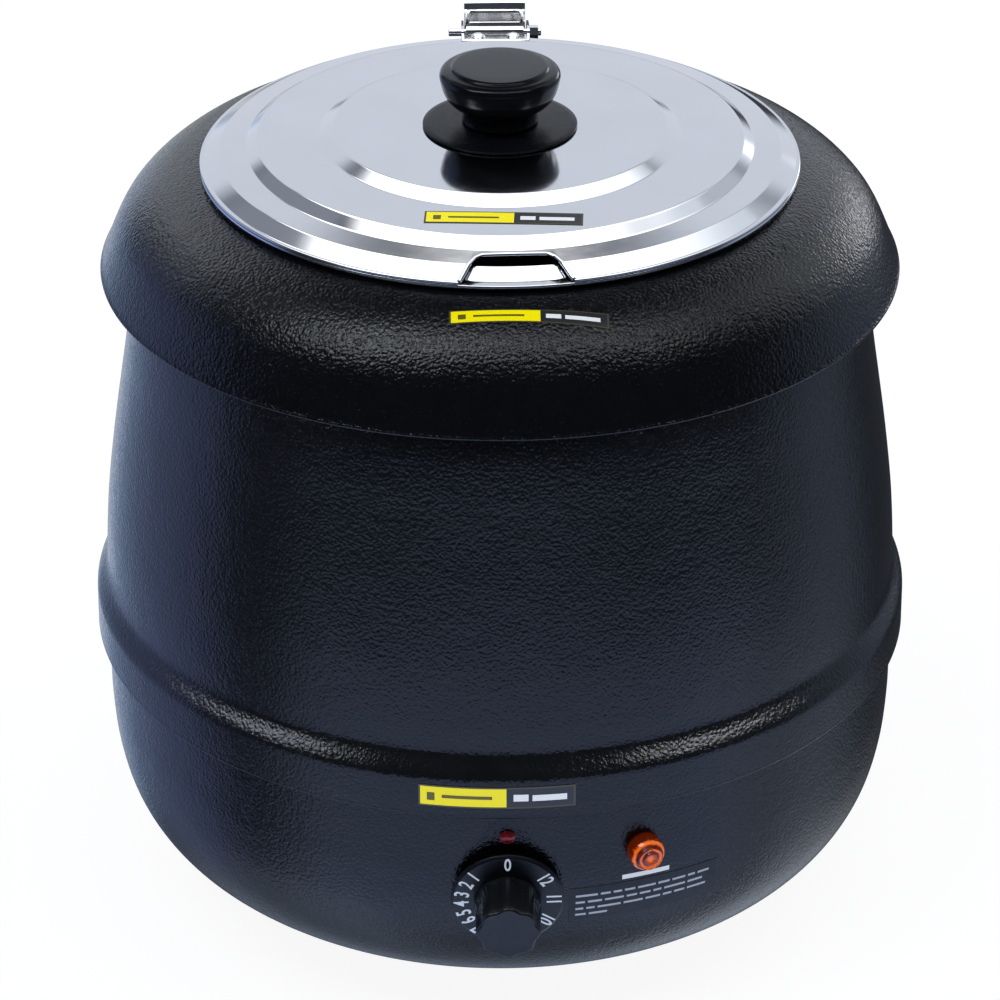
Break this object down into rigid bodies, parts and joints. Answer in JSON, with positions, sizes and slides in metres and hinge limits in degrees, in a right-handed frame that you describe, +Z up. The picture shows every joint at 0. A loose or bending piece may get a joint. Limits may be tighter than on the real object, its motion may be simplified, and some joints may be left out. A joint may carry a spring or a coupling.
{
  "type": "soup kettle",
  "caption": "Electric wet-well soup kettle: hammered black shell, lift-out stainless inset, hinged notched lid, rotary thermostat and pilot lamp.",
  "frame": {"origin": "on the floor under the middle of the whole object's outline, which is the kettle's own axis", "axes": "+Z up along the kettle's axis, -Y towards the controls, +Y towards the hinge and cord, +X to the right when facing the controls"},
  "size_m": [0.3432, 0.3852, 0.3588],
  "materials": {
    "hammered_black": "hammered gloss",
    "polished_stainless": "polished",
    "satin_stainless": "satin",
    "zinc_steel": "zinc plated",
    "chrome": "polished",
    "black_phenolic": "moulded gloss",
    "dial_black": "printed dial",
    "black_rubber": "matte",
    "red_dot": "gloss",
    "amber_lens": "translucent",
    "white_nylon": "moulded",
    "mica": "matte",
    "copper": "drawn",
    "label_yellow": "vinyl"
  },
  "bodies": {
    "shell": {"collar_ring": "hammered_black", "body_shell": "hammered_black", "base_bowl": "hammered_black", "base_plate": "zinc_steel", "water_well": "satin_stainless", "heating_element": "mica", "element_clamp_plate": "zinc_steel", "well_stud": "zinc_steel", "clamp_nut": "zinc_steel", "thermal_cutout": "black_phenolic", "thermostat_body": "black_phenolic", "capillary_tube": "copper", "thermostat_bulb": "copper", "index_dot": "red_dot", "pilot_lamp_lens": "amber_lens", "pilot_lamp_body": "white_nylon", "pilot_lamp_nut": "zinc_steel", "cord_gland": "black_phenolic", "power_cord": "black_rubber", "terminal_block": "white_nylon", "collar_label": "label_yellow", "skirt_label": "label_yellow", "collar_clip_1": "zinc_steel", "foot_1": "black_rubber", "foot_screw_1": "zinc_steel", "base_screw_1": "zinc_steel", "collar_clip_2": "zinc_steel", "foot_2": "black_rubber", "foot_screw_2": "zinc_steel", "base_screw_2": "zinc_steel", "collar_clip_3": "zinc_steel", "foot_3": "black_rubber", "foot_screw_3": "zinc_steel", "base_screw_3": "zinc_steel", "collar_clip_4": "zinc_steel", "foot_4": "black_rubber", "foot_screw_4": "zinc_steel", "base_screw_4": "zinc_steel", "thermostat_screw_1": "zinc_steel", "thermostat_screw_2": "zinc_steel"},
    "inset": {"soup_pot": "polished_stainless", "hinge_leaf": "chrome", "hinge_barrel": "chrome"},
    "lid": {"lid": "polished_stainless", "knob_disc": "black_phenolic", "lid_knob": "black_phenolic", "knob_washer": "zinc_steel", "knob_screw": "zinc_steel", "lid_hinge_bracket": "chrome", "bracket_rivet_1": "chrome", "bracket_rivet_2": "chrome", "hinge_pin": "chrome", "hinge_pin_nut": "chrome", "lid_label": "label_yellow"},
    "thermostat_knob": {"dial_skirt": "dial_black", "control_knob": "black_phenolic", "thermostat_shaft": "zinc_steel"}
  },
  "joints": [
    {"name": "inset_lift", "type": "slide", "parent": "shell", "child": "inset", "axis": [0, 0, 1], "range_m": [0, 0.25]},
    {"name": "lid_hinge", "type": "hinge", "parent": "inset", "child": "lid", "pos_m": [0, 0.1272, 0.321], "axis": [-1, 0, 0], "range_deg": [0, 100]},
    {"name": "thermostat_turn", "type": "hinge", "parent": "shell", "child": "thermostat_knob", "pos_m": [0, -0.1671, 0.075], "axis": [0, 0.9945, 0.1045], "range_deg": [0, 307]}
  ]
}
